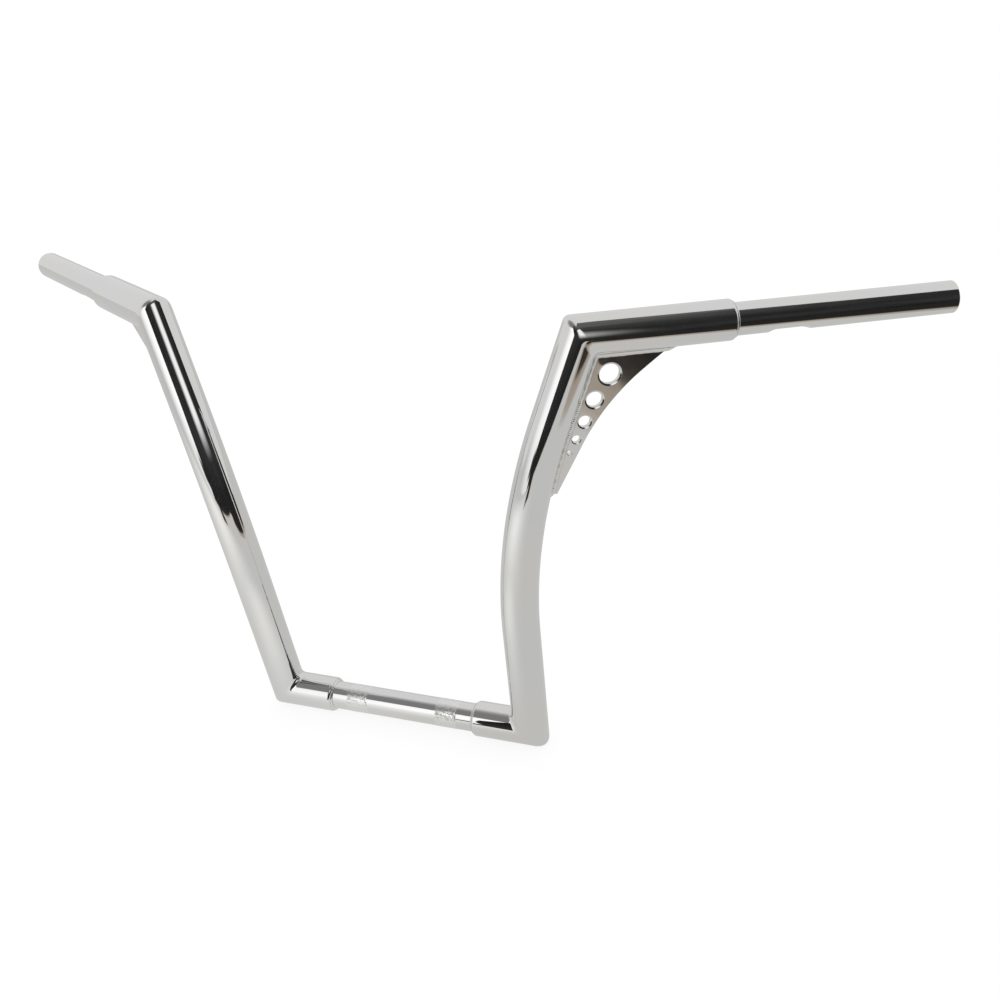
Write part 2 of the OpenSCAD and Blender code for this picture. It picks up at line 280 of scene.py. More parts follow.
def add_cards():
    left, right = (ROOM_LEFT, ROOM_FRONT), (ROOM_RIGHT, ROOM_FRONT)
    card("front_flag", upright(right, left, ROOM_FLOOR, ROOM_TOP), room_level)
    card("right_flag", [(ROOM_RIGHT, ROOM_BACK, ROOM_FLOOR), (*right, ROOM_FLOOR), (*right, ROOM_TOP), (ROOM_RIGHT, ROOM_BACK_HIGH, ROOM_TOP),
                        (ROOM_RIGHT, ROOM_BACK, ROOM_SHOULDER)], room_level)
    card("window", upright(WINDOW[0], WINDOW[1], WINDOW_LOW, WINDOW_HIGH), window_level)
    card("left_light", upright(left, (-3.4, ROOM_FRONT), FLOOR_Z, 1.65), light_level)
    card("stub_flag", [(0.042, -0.095, 0.045), (0.055, -0.066, 0.045), (0.098, -0.036, 0.045), (0.110, -0.046, 0.045),
                       (-0.010, -0.370, 0.045), (-0.046, -0.370, 0.045), (-0.004, -0.240, 0.045)], stub_level)


# Sizes of the object in millimetres, as in the solids
SLIM_R, SPIGOT_R, SLIM_BORE_R, REAM_R = 12.7, 12.5, 10.6, 10.8
FAT_R, FAT_BORE_R, SHOULDER_R, CORNER_EASE = 15.875, 12.625, 2.5, 3.5
CLAMP_GAP, CLAMP_INSERT, BAND_SPACING, BAND_W, BAND_R, BAND_VALLEY_R = 142.5, 30, 89.5, 21, 12.9, 12.77
FOOT_RUN, BEND_R, BEND_TURN, TOP_RUN = 113, 466, math.radians(23.8), 74
ARM_RUN, GRIP_RUN, GRIP_INSERT, END_ROUND, REAM_DEPTH = 119, 182.5, 40, 0.8, 45
DIMPLE_START, DIMPLE_RUN, DIMPLE_DEPTH, DIMPLE_TOOL_R, DIMPLE_TURN = 33.5, 24, 2.0, 8, math.radians(27)
DIMPLE_SPREAD, DIMPLE_LIP = 0.2, 0.7
GUSSET_T, PLATE_EASE, HOLE_RIM, HOLE_LIP, HOLE_FLARE = 4.8, 0.35, 0.5, -0.8, 0.66
RING_LEG, BAND_WEAR = 1.6, 0.11
MM = 0.001
ROUND = 96


def unit(v):
    return v / np.linalg.norm(v)


def square_to(v, axis):
    return unit(v - (v @ axis) * axis)


# Directions on the right-hand side, and the points where the tube axes meet
X_AXIS = np.array([1.0, 0, 0])
LOWER_CORNER = np.array([123.0, 0, 0])
FOOT_LEAN, BEND_HEADING = math.radians(2.8), math.radians(45.6)
ARM_SWEEP, ARM_DROOP = math.radians(33.3), math.radians(7.1)
FOOT_DIR = np.array([math.sin(FOOT_LEAN), 0, math.cos(FOOT_LEAN)])
BEND_IN = square_to(np.array([math.cos(BEND_HEADING), math.sin(BEND_HEADING), 0]), FOOT_DIR)
BEND_SIDE = np.cross(FOOT_DIR, BEND_IN)
BEND_CENTRE = LOWER_CORNER + FOOT_RUN * FOOT_DIR + BEND_R * BEND_IN
RISER_RUN = FOOT_RUN + BEND_R * BEND_TURN + TOP_RUN
TOP_DIR = math.cos(BEND_TURN) * FOOT_DIR + math.sin(BEND_TURN) * BEND_IN
TOP_IN = math.cos(BEND_TURN) * BEND_IN - math.sin(BEND_TURN) * FOOT_DIR
UPPER_CORNER = BEND_CENTRE - BEND_R * TOP_IN + TOP_RUN * TOP_DIR
ARM_DIR = np.array([math.cos(ARM_SWEEP) * math.cos(ARM_DROOP), math.sin(ARM_SWEEP) * math.cos(ARM_DROOP),
                    -math.sin(ARM_DROOP)])
ARM_END = UPPER_CORNER + ARM_RUN * ARM_DIR
PLATE_DOWN = square_to(-TOP_DIR, ARM_DIR)
PLATE_OUT = np.cross(ARM_DIR, PLATE_DOWN)


# A tube's skin as a function of the way along it, the angle round it and a radius
def straight_skin(origin, direction):
    x = square_to(np.array([0, 0.001, -1]), direction)
    y = np.cross(direction, x)

    def skin(along, angle, radius):
        along, angle, radius = np.broadcast_arrays(along, angle, radius)
        out = np.cos(angle)[..., None] * x + np.sin(angle)[..., None] * y
        return origin + along[..., None] * direction + radius[..., None] * out, out
    return skin


def riser_skin(along, angle, radius):
    along, angle, radius = np.broadcast_arrays(along, angle, radius)
    turn = np.clip((along - FOOT_RUN) / BEND_R, 0, BEND_TURN)
    past = (along - FOOT_RUN - BEND_R * turn)[..., None]
    cos, sin = np.cos(turn)[..., None], np.sin(turn)[..., None]
    inward = cos * BEND_IN - sin * FOOT_DIR
    centre = BEND_CENTRE - BEND_R * inward + past * (cos * FOOT_DIR + sin * BEND_IN)
    out = np.cos(angle)[..., None] * inward + np.sin(angle)[..., None] * BEND_SIDE
    return centre + radius[..., None] * out, out


class Shell:
    """Points and faces of one piece, with a normal for each corner of each face."""

    def __init__(self):
        self.points, self.faces, self.normals, self.count = [], [], [], 0
        self.rough_faces = set()

    def row(self, points):
        start = self.count
        self.points.append(points)
        self.count += len(points)
        return np.arange(start, self.count)

    def strip(self, row_a, row_b, normals_a, normals_b, closed=True):
        """Quads between two rows of as many points, turned so that they face along their normals."""
        last = len(row_a) if closed else len(row_a) - 1
        i = np.arange(last)
        j = (i + 1) % len(row_a)
        quads = np.stack([row_a[i], row_a[j], row_b[j], row_b[i]], 1)
        normals = np.stack([normals_a[i], normals_a[j], normals_b[j], normals_b[i]], 1)
        self.add(quads, normals)

    def add(self, faces, normals):
        points = np.concatenate(self.points)
        corners = points[faces]
        facing = np.cross(corners[:, 2] - corners[:, 0], corners[:, -1] - corners[:, 1] if faces.shape[1] == 4
                          else corners[:, 1] - corners[:, 0])
        if faces.shape[1] == 3:
            facing = -facing
        wrong = (facing * normals.mean(1)).sum(1).sum() < 0
        if wrong:
            faces, normals = faces[:, ::-1], normals[:, ::-1]
        self.faces += faces.tolist()
        self.normals.append(normals.reshape(-1, 3))

    def flat(self, triangles, rough=False):
        """Triangles that each keep their own flat normal; they are given already turned the right way."""
        if rough:
            self.rough_faces.update(range(len(self.faces), len(self.faces) + len(triangles)))
        points = np.concatenate(self.points)
        a, b, c = (points[triangles[:, k]] for k in range(3))
        facing = np.cross(b - a, c - a)
        facing /= np.linalg.norm(facing, axis=1)[:, None] + 1e-12
        self.faces += triangles.tolist()
        self.normals.append(np.repeat(facing, 3, 0))

    def build(self, name, mirrored):
        points, normals, faces = np.concatenate(self.points) * MM, np.concatenate(self.normals), self.faces
        if mirrored:
            flip = np.array([-1, 1, 1])
            points, normals = points * flip, normals * flip
            turned, start = [], 0
            for face in faces:
                turned.append(normals[start:start + len(face)][::-1])
                start += len(face)
            normals, faces = np.concatenate(turned), [face[::-1] for face in faces]
        points, index = np.unique(np.round(points, 8), axis=0, return_inverse=True)
        index = index.ravel()
        mesh = bpy.data.meshes.new(name)
        mesh.from_pydata(points.tolist(), [], [index[face].tolist() for face in faces])
        mesh.shade_smooth()
        mesh.polygons.foreach_set("material_index", [int(k in self.rough_faces) for k in range(len(faces))])
        mesh.normals_split_custom_set(normals.tolist())
        piece = bpy.data.objects.new(name, mesh)
        bpy.context.scene.collection.objects.link(piece)
        return piece


ANGLES = np.linspace(0, 2 * math.pi, ROUND, endpoint=False)


class Mitre:
    """A corner between a leg a and a leg b, ground to an even sweep across the joint."""

    def __init__(self, corner, a, b):
        self.corner, self.a, self.b = corner, a, b
        self.across, self.out = unit(a - b), -unit(a + b)
        self.pull = np.linalg.norm(a - b) * np.linalg.norm(a + b)

    def start(self, out, radius):
        """Way along leg a at which each line of the skin meets the mitre."""
        return -radius * (out @ self.across) / (self.a @ self.across)

    def steps(self):
        return CORNER_EASE * np.array([0, 0.06, 0.14, 0.24, 0.36, 0.5, 0.66, 0.83, 1, 1.3]) / (self.a @ self.across)

    def reach(self, points):
        """Distance from the eased joint's axis: the ground surface is where this is the tube's radius."""
        p = points - self.corner
        side = p @ self.across
        far = (p * p).sum(-1)
        to_a = np.sqrt(far - (p @ self.a) ** 2)
        to_b = np.sqrt(far - (p @ self.b) ** 2)
        eased = np.where(abs(side) < CORNER_EASE, (side ** 2 + CORNER_EASE ** 2) / (2 * CORNER_EASE), abs(side))
        return (to_a + to_b) / 2 + self.pull * (p @ self.out) / (to_a + to_b) * eased / 2

    def slope(self, points):
        step = 1e-3
        return np.stack([(self.reach(points + step * e) - self.reach(points - step * e)) / (2 * step)
                         for e in np.eye(3)], -1)

    def ease(self, points, radius):
        for _ in range(6):
            slope = self.slope(points)
            slope -= (slope @ self.across)[..., None] * self.across
            points = points + ((radius - self.reach(points)) / (slope ** 2).sum(-1))[..., None] * slope
        slope = self.slope(points)
        return points, slope / np.linalg.norm(slope, axis=-1)[..., None]


def mitred_rows(shell, skin, mitre, radius, place):
    """Rows from the joint to where the plain tube starts; place turns a way along the leg into one along the skin."""
    _, out = skin(place(np.zeros(ROUND)), ANGLES, radius)
    start = mitre.start(out, radius)
    rows = []
    for step in mitre.steps():
        points, normals = mitre.ease(skin(place(start + step), ANGLES, radius)[0], radius)
        rows.append((shell.row(points), normals))
    return rows


def plain_row(shell, skin, along, radius, inside=False):
    points, out = skin(along, ANGLES, radius)
    return shell.row(points), -out if inside else out


def join(shell, rows):
    for (row_a, normals_a), (row_b, normals_b) in zip(rows, rows[1:]):
        shell.strip(row_a, row_b, normals_a, normals_b)


def bore_end(shell, skin, mitre, place):
    _, out = skin(place(np.zeros(ROUND)), ANGLES, FAT_BORE_R)
    points, out = skin(place(mitre.start(out, FAT_BORE_R)), ANGLES, FAT_BORE_R)
    return shell.row(points), -out


def cap(shell, row_a, row_b, normal):
    normals = np.tile(normal, (ROUND, 1))
    shell.strip(row_a, row_b, normals, normals)


def shouldered_tube(skin, mitre, length):
    """Fat tube from its mitred corner to its rounded, open shoulder."""
    shell = Shell()
    place = lambda along: along
    rows = mitred_rows(shell, skin, mitre, FAT_R, place)
    outer_end = rows[0][0]
    rows.append(plain_row(shell, skin, max(24, length / 2), FAT_R))
    rows.append(plain_row(shell, skin, length - SHOULDER_R, FAT_R))
    out, along = rows[-1][1], mitre.a
    for turn in np.linspace(0, math.pi / 2, 9)[1:]:
        points, _ = skin(length - SHOULDER_R + SHOULDER_R * math.sin(turn), ANGLES,
                         FAT_R - SHOULDER_R + SHOULDER_R * math.cos(turn))
        rows.append((shell.row(points), math.cos(turn) * out + math.sin(turn) * along))
    join(shell, rows)
    mouth = shell.row(skin(length, ANGLES, FAT_BORE_R)[0])
    cap(shell, rows[-1][0], mouth, along)
    inner = bore_end(shell, skin, mitre, place)
    shell.strip(mouth, inner[0], -out, inner[1])
    cap(shell, inner[0], outer_end, -mitre.across)
    return shell


def riser():
    shell = Shell()
    low, high = Mitre(LOWER_CORNER, FOOT_DIR, -X_AXIS), Mitre(UPPER_CORNER, -TOP_DIR, ARM_DIR)
    up, down = (lambda along: along), (lambda along: RISER_RUN - along)
    rows = mitred_rows(shell, riser_skin, low, FAT_R, up)
    squares = [30, 70] + list(np.linspace(FOOT_RUN, RISER_RUN - TOP_RUN, 60)) + [RISER_RUN - 50, RISER_RUN - 25]
    rows += [plain_row(shell, riser_skin, along, FAT_R) for along in squares]
    rows += mitred_rows(shell, riser_skin, high, FAT_R, down)[::-1]
    join(shell, rows)
    bore = [bore_end(shell, riser_skin, low, up)]
    bore += [plain_row(shell, riser_skin, along, FAT_BORE_R, inside=True) for along in squares]
    bore.append(bore_end(shell, riser_skin, high, down))
    join(shell, bore)
    cap(shell, rows[0][0], bore[0][0], -low.across)
    cap(shell, rows[-1][0], bore[-1][0], -high.across)
    return shell


def profile_rows(shell, skin, profile):
    """Revolved strips through (along, radius) pairs; each strip is straight in section and keeps its own normals."""
    rows = [(shell.row(skin(along, ANGLES, radius)[0]), along, radius) for along, radius in profile]
    probe = skin(0.0, ANGLES, 1.0)[1]
    axis = unit(skin(1.0, 0.0, 0.0)[0] - skin(0.0, 0.0, 0.0)[0])
    for (row_a, along_a, radius_a), (row_b, along_b, radius_b) in zip(rows, rows[1:]):
        run, rise = along_b - along_a, radius_b - radius_a
        size = math.hypot(run, rise)
        normals = (run * probe - rise * axis) / size
        shell.strip(row_a, row_b, normals, normals)


def knurled_band(shell, skin, middle):
    """Pyramids between two crossed sets of grooves, fading out at both edges of the band."""
    steps = 26
    worn = np.random.RandomState(7)
    rows = []
    for k in range(steps + 1):
        peak = (np.arange(ROUND) + k) % 2 == 0
        edge = k in (0, steps)
        top = BAND_R - BAND_WEAR * worn.rand(ROUND)
        radius = np.where(peak & (not edge), top, SLIM_R if edge else BAND_VALLEY_R)
        rows.append(shell.row(skin(middle + (k / steps - 0.5) * BAND_W, ANGLES, radius)[0]))
    i = np.arange(ROUND)
    j = (i + 1) % ROUND
    for k in range(steps):
        a, b = rows[k], rows[k + 1]
        even = (i + k) % 2 == 0
        first = np.where(even[:, None], np.stack([a[i], a[j], b[i]], 1), np.stack([a[i], a[j], b[j]], 1))
        second = np.where(even[:, None], np.stack([a[j], b[j], b[i]], 1), np.stack([a[i], b[j], b[i]], 1))
        shell.flat(first, rough=True)
        shell.flat(second, rough=True)


def clamp_tube():
    shell = Shell()
    skin = straight_skin(np.zeros(3), X_AXIS)
    half, bare = CLAMP_GAP / 2 + CLAMP_INSERT, CLAMP_GAP / 2 - RING_LEG
    near, far = BAND_SPACING / 2 - BAND_W / 2, BAND_SPACING / 2 + BAND_W / 2
    profile_rows(shell, skin, [(-half, SLIM_BORE_R), (-half, SPIGOT_R), (-bare, SPIGOT_R), (-bare, SLIM_R), (-far, SLIM_R)])
    knurled_band(shell, skin, -BAND_SPACING / 2)
    profile_rows(shell, skin, [(-near, SLIM_R), (0, SLIM_R), (near, SLIM_R)])
    knurled_band(shell, skin, BAND_SPACING / 2)
    profile_rows(shell, skin, [(far, SLIM_R), (bare, SLIM_R), (bare, SPIGOT_R), (half, SPIGOT_R), (half, SLIM_BORE_R),
                               (-half, SLIM_BORE_R)])
    return shell


def dimpled_radius(along, angle):
    """Radius of the grip where a broad tool has pressed a flat into it, round at both ends, with a soft lip."""
    height, start = SLIM_R - DIMPLE_DEPTH + DIMPLE_TOOL_R, GRIP_INSERT + DIMPLE_START
    beyond = along - np.clip(along, start, start + DIMPLE_RUN)
    low, high = np.full(np.broadcast(along, angle).shape, 6.0), np.full(np.broadcast(along, angle).shape, SLIM_R)
    for _ in range(30):
        radius = (low + high) / 2
        down = radius * np.cos(angle + DIMPLE_TURN)
        side = radius * np.sin(angle + DIMPLE_TURN)
        gap = np.sqrt((down - height) ** 2 + (DIMPLE_SPREAD * side) ** 2 + beyond ** 2)
        a, b = radius - SLIM_R, DIMPLE_TOOL_R - gap
        soft = np.maximum(a, b) + np.maximum(DIMPLE_LIP - abs(a - b), 0) ** 2 / (4 * DIMPLE_LIP)
        high = np.where(soft > 0, radius, high)
        low = np.where(soft > 0, low, radius)
    return (low + high) / 2


def grip_tube():
    shell = Shell()
    skin = straight_skin(ARM_END - GRIP_INSERT * ARM_DIR, ARM_DIR)
    length, bare = GRIP_INSERT + GRIP_RUN, GRIP_INSERT + RING_LEG
    first, last = GRIP_INSERT + DIMPLE_START - 10, GRIP_INSERT + DIMPLE_START + DIMPLE_RUN + 10
    profile_rows(shell, skin, [(0, SLIM_BORE_R), (0, SPIGOT_R), (bare, SPIGOT_R), (bare, SLIM_R), (first, SLIM_R)])
    spots = np.linspace(first, last, 76)
    radii = dimpled_radius(spots[:, None], ANGLES[None, :])
    step = 0.05
    along_slope = (dimpled_radius(spots[:, None] + step, ANGLES) - dimpled_radius(spots[:, None] - step, ANGLES)) / (2 * step)
    turn = step / SLIM_R
    round_slope = (dimpled_radius(spots[:, None], ANGLES + turn) - dimpled_radius(spots[:, None], ANGLES - turn)) / (2 * step)
    points, out = skin(spots[:, None], ANGLES[None, :], radii)
    around = np.cross(ARM_DIR, out)
    normals = out - along_slope[..., None] * ARM_DIR - round_slope[..., None] * around
    normals /= np.linalg.norm(normals, axis=-1)[..., None]
    join(shell, [(shell.row(points[k]), normals[k]) for k in range(len(spots))])
    probe = out[0]
    rows = [plain_row(shell, skin, last, SLIM_R), plain_row(shell, skin, length - END_ROUND, SLIM_R)]
    for turn in np.linspace(0, math.pi / 2, 7)[1:]:
        points, _ = skin(length - END_ROUND + END_ROUND * math.sin(turn), ANGLES, SLIM_R - END_ROUND + END_ROUND * math.cos(turn))
        rows.append((shell.row(points), math.cos(turn) * probe + math.sin(turn) * ARM_DIR))
    join(shell, rows)
    ream = length - REAM_DEPTH
    profile_rows(shell, skin, [(length, SLIM_R - END_ROUND), (length, REAM_R + 0.3), (length - 0.3, REAM_R), (ream, REAM_R),
                               (ream, SLIM_BORE_R), (0, SLIM_BORE_R)])
    return shell


# The gusset's own flat frame: x along the arm, y square to it and downwards
ELBOW = math.acos(-TOP_DIR @ ARM_DIR)
RISER_FLAT = np.array([math.cos(ELBOW), math.sin(ELBOW)])
INWARD_FLAT = np.array([math.sin(ELBOW), -math.cos(ELBOW)])
TIP = np.array([68, FAT_R + 1.2])
TIP_ANGLE, FOOT_ANGLE, EDGE_R = math.radians(37.8), math.radians(8.3), 170
RISER_LEG = 129


def beside_riser(down, out):
    return down * RISER_FLAT + (FAT_R + out) * INWARD_FLAT


def free_edge():
    tip_dir = np.array([-math.cos(TIP_ANGLE), math.sin(TIP_ANGLE)])
    foot = beside_riser(RISER_LEG, 7.9)
    foot_dir = -math.cos(FOOT_ANGLE) * RISER_FLAT + math.sin(FOOT_ANGLE) * INWARD_FLAT
    gap = foot - TIP
    corner = TIP + (gap[0] * foot_dir[1] - gap[1] * foot_dir[0]) / (tip_dir[0] * foot_dir[1] - tip_dir[1] * foot_dir[0]) * tip_dir
    half = math.acos(-tip_dir @ foot_dir) / 2
    start = corner - EDGE_R * math.tan(half) * tip_dir
    centre = start + EDGE_R * np.array([math.sin(TIP_ANGLE), math.cos(TIP_ANGLE)])
    first = math.atan2(*(start - centre)[::-1])
    stop = corner - EDGE_R * math.tan(half) * foot_dir
    last = math.atan2(*(stop - centre)[::-1])
    sweep = (last - first + math.pi) % (2 * math.pi) - math.pi
    arc = [centre + EDGE_R * np.array([math.cos(first + sweep * k / 40), math.sin(first + sweep * k / 40)]) for k in range(41)]
    return [TIP] + arc + [foot]


def plate_loops():
    """The outline with its hidden edges 1 to 3 mm inside the tube walls, and the five lightening holes."""
    crotch = beside_riser(0, -3) + (FAT_R - 1 - beside_riser(0, -3)[1]) / RISER_FLAT[1] * RISER_FLAT
    outline = [crotch, np.array([TIP[0], FAT_R - 1])] + free_edge() + [beside_riser(RISER_LEG, -3)]
    loops = [np.array(outline)]
    down, size = 24.0, 18.0
    for k in range(5):
        middle = beside_riser(down, size / 2 + (7.3 if k == 0 else 4.3))
        turn = np.linspace(0, 2 * math.pi, 64, endpoint=False)
        loops.append(middle + size / 2 * np.stack([np.cos(turn), np.sin(turn)], 1))
        down += (size + size - 3.5) / 2 + 6.2
        size -= 3.5
    return loops


def outwards(loop, hole):
    """Outward direction at each point of a flat loop, scaled so that an inset keeps the edges' distance."""
    ahead = np.roll(loop, -1, 0) - loop
    ahead /= np.linalg.norm(ahead, axis=1)[:, None]
    area = (loop[:, 0] * np.roll(loop[:, 1], -1) - loop[:, 1] * np.roll(loop[:, 0], -1)).sum()
    side = np.stack([ahead[:, 1], -ahead[:, 0]], 1) * (1 if area > 0 else -1) * (-1 if hole else 1)
    both = side + np.roll(side, 1, 0)
    both /= np.linalg.norm(both, axis=1)[:, None]
    return both, np.minimum(1 / np.maximum((both * side).sum(1), 0.2), 2.5)


def eased_edge(start=0):
    """Inset, drop below the face and tilt of the normal along an edge that is rounded back from start."""
    turns = np.linspace(0, math.pi / 2, 6)
    return [(start + PLATE_EASE * (1 - math.sin(turn)), PLATE_EASE * (1 - math.cos(turn)), turn) for turn in turns]


def flared_edge(share):
    """The same for a hole: a conical flare between a soft rim and a soft lip, smaller in a small hole."""
    rim, lip, drop, soft = HOLE_RIM * share, HOLE_LIP * share, HOLE_FLARE * share, 0.15 * share
    tilt = math.atan(drop / (rim - lip))
    step = soft * math.tan(tilt)
    return [(rim + soft, 0, 0), (rim - soft, step, tilt), (lip + soft, drop - step, tilt),
            (lip, drop + soft, (tilt + math.pi / 2) / 2), (lip, drop + 3 * soft, math.pi / 2)]


def gusset():
    shell = Shell()
    loops = plate_loops()
    flats = {1: [], -1: []}
    lift = lambda flat, height: UPPER_CORNER + flat[:, :1] * ARM_DIR + flat[:, 1:] * PLATE_DOWN + height * PLATE_OUT
    for k, loop in enumerate(loops):
        out, stretch = outwards(loop, k > 0)
        out_3d = out[:, :1] * ARM_DIR + out[:, 1:] * PLATE_DOWN
        share = min(1, np.ptp(loop[:, 0]) / 14)
        rows = []
        for face in (1, -1):
            half = eased_edge() if k == 0 else flared_edge(share) if face == -1 else eased_edge(HOLE_LIP * share)
            for inset, drop, tilt in half if face == 1 else half[::-1]:
                row = shell.row(lift(loop - inset * stretch[:, None] * out, face * (GUSSET_T / 2 - drop)))
                rows.append((row, math.cos(tilt) * face * PLATE_OUT + math.sin(tilt) * out_3d))
                if drop == 0 and row[0] not in [r[0] for r in flats[face]]:
                    flats[face].append(row)
        join(shell, rows)
    points = np.concatenate(shell.points)
    for face, rows in flats.items():
        flat_loops = [[Vector((p @ ARM_DIR, p @ PLATE_DOWN, 0)) for p in points[row] - UPPER_CORNER] for row in rows]
        index = np.concatenate(rows)
        triangles = index[np.array(geometry.tessellate_polygon(flat_loops))]
        a, b, c = (points[triangles[:, n]] for n in range(3))
        wrong = (np.cross(b - a, c - a) @ PLATE_OUT) * face < 0
        triangles[wrong] = triangles[wrong][:, ::-1]
        shell.flat(triangles)
    return shell


# Welds
BEAD_LEG, BEAD_ROOT, RIPPLE_PITCH, BEAD_POWER = 3.3, 0.4, 1.7, 1.12


def wobble(values, seed):
    """Smooth unevenness between -1 and 1 that repeats exactly."""
    return sum(np.sin(values * rate + seed * phase) for rate, phase in ((0.21, 1.3), (0.47, 2.9), (0.93, 4.1))) / 3


def bead(shell, skin, start, stop, toward, heading, seed, tail):
    """A fillet bead along one face of the plate, round its end and back along the other, laid on the tube's skin."""
    half = GUSSET_T / 2
    straight = abs(stop - start)
    path = []
    for run in np.arange(0, straight, 0.34):
        path.append((start + toward * run, half, 0, 1))
    for turn in np.linspace(math.pi / 2, -math.pi / 2, 30):
        path.append((stop + toward * half * math.cos(turn), half * math.sin(turn), toward * math.cos(turn), math.sin(turn)))
    for run in np.arange(straight, 0, -0.34):
        path.append((start + toward * run, -half, 0, -1))
    path = np.array(path)
    step = np.r_[0, np.hypot(*np.diff(path[:, :2], axis=0).T)]
    run = np.cumsum(step)[:, None]
    fan = np.radians(np.linspace(-8, 98, 15))[None, :]
    size = (np.abs(np.cos(fan)) ** BEAD_POWER + np.abs(np.sin(fan)) ** BEAD_POWER) ** (-1 / BEAD_POWER)
    lean = np.sin(fan) * np.cos(fan)
    ripple = 1 + 0.03 * np.sin(2 * math.pi * (run + 1.1 * lean) / RIPPLE_PITCH + 0.6 * wobble(run, seed)) + 0.06 * wobble(run, seed + 3)
    reach = BEAD_LEG * size * ripple
    along = path[:, :1] + reach * np.cos(fan) * path[:, 2:3] * (1 + tail * abs(path[:, 2:3]))
    across = path[:, 1:2] + reach * np.cos(fan) * path[:, 3:4]
    points, _ = skin(along, heading + across / FAT_R, FAT_R + reach * np.sin(fan))
    d_run, d_fan = np.gradient(points, axis=0), np.gradient(points, axis=1)
    normals = np.cross(d_run, d_fan)
    normals /= np.linalg.norm(normals, axis=-1)[..., None]
    middle, _ = skin(path[:, 0], heading + path[:, 1] / FAT_R, FAT_R)
    if ((points - middle[:, None]) * normals).sum() < 0:
        normals = -normals
    rows = [shell.row(points[k]) for k in range(len(points))]
    for k in range(len(rows) - 1):
        shell.strip(rows[k], rows[k + 1], normals[k], normals[k + 1], closed=False)
    root, _ = skin(path[:, 0], heading + (path[:, 1] - BEAD_ROOT * path[:, 3]) / FAT_R, FAT_R - BEAD_ROOT)
    back = shell.row(root)
    inside = points.mean(axis=1)
    for edge in (0, -1):
        rim = np.array([row[edge] for row in rows])
        wall = np.cross(root[1:] - root[:-1], points[:-1, edge] - root[:-1])
        wall = np.vstack([wall, wall[-1:]])
        if (((points[:, edge] + root) / 2 - inside) * wall).sum() < 0:
            wall = -wall
        shell.strip(rim, back, wall, wall, closed=False)
    for k, beyond in ((0, inside[0] - inside[1]), (-1, inside[-1] - inside[-2])):
        fan = np.stack([np.full(len(rows[k]) - 1, back[k]), rows[k][:-1], rows[k][1:]], 1)
        facing = np.cross(points[k, :-1] - root[k], points[k, 1:] - root[k]).sum(0)
        shell.flat(fan if facing @ beyond > 0 else fan[:, ::-1])


def gusset_weld():
    shell = Shell()
    arm_skin = straight_skin(UPPER_CORNER, ARM_DIR)
    probe = arm_skin(0.0, np.array([0.0, math.pi / 2]), 1.0)[1]
    arm_heading = math.atan2(PLATE_DOWN @ probe[1], PLATE_DOWN @ probe[0])
    crotch = FAT_R / math.tan(ELBOW / 2)
    bead(shell, arm_skin, crotch - 1, TIP[0] - 0.5, 1, arm_heading, 1.0, 1.4)
    probe = riser_skin(RISER_RUN, np.array([0.0, math.pi / 2]), 1.0)[1]
    riser_heading = math.atan2(ARM_DIR @ probe[1], ARM_DIR @ probe[0])
    bead(shell, riser_skin, RISER_RUN - crotch + 1, RISER_RUN - RISER_LEG, -1, riser_heading, 2.0, 0.5)
    return shell


def weld_ring(skin):
    """Bead round a slim tube in the groove at the fat tube's mouth."""
    shell = Shell()
    fan = np.radians(np.linspace(0, 90, 9))
    rows = []
    for turn in fan:
        ripple = 1 + 0.05 * np.sin(ANGLES * 40) + 0.05 * wobble(ANGLES * 6, 2.0)
        along = RING_LEG * math.sin(turn) * ripple
        rows.append(skin(along, ANGLES, SLIM_R + RING_LEG * math.cos(turn) * ripple)[0])
    points = np.array(rows)
    normals = np.cross(np.roll(points, -1, 1) - np.roll(points, 1, 1), np.gradient(points, axis=0))
    normals /= np.linalg.norm(normals, axis=-1)[..., None]
    out = skin(0.0, ANGLES, 1.0)[1]
    if (normals[4] * out).sum() < 0:
        normals = -normals
    index = [shell.row(points[k]) for k in range(len(points))]
    join(shell, list(zip(index, normals)))
    axis = unit(skin(1.0, 0.0, 0.0)[0] - skin(0.0, 0.0, 0.0)[0])
    mouth, top = (shell.row(skin(along, ANGLES, SPIGOT_R)[0]) for along in (0.0, RING_LEG))
    cap(shell, index[0], mouth, -axis)
    shell.strip(mouth, top, -out, -out)
    cap(shell, top, index[-1], axis)
    return shell


# Chrome
GROUND_SPOT = Vector((UPPER_CORNER + 18 * unit(ARM_DIR - TOP_DIR)) * MM)


def bump(tree, height, distance, normal=None):
    node = add_node(tree, "ShaderNodeBump")
    node.inputs["Strength"].default_value = 1
    node.inputs["Distance"].default_value = distance
    tree.links.new(height, node.inputs["Height"])
    if normal is not None:
        tree.links.new(normal, node.inputs["Normal"])
    return node.outputs["Normal"]


def noise(tree, place, scale, detail=2.0, roughness=0.5):
    node = add_node(tree, "ShaderNodeTexNoise")
    tree.links.new(place, node.inputs["Vector"])
    node.inputs["Scale"].default_value = scale
    node.inputs["Detail"].default_value = detail
    node.inputs["Roughness"].default_value = roughness
    return node.outputs["Fac"]


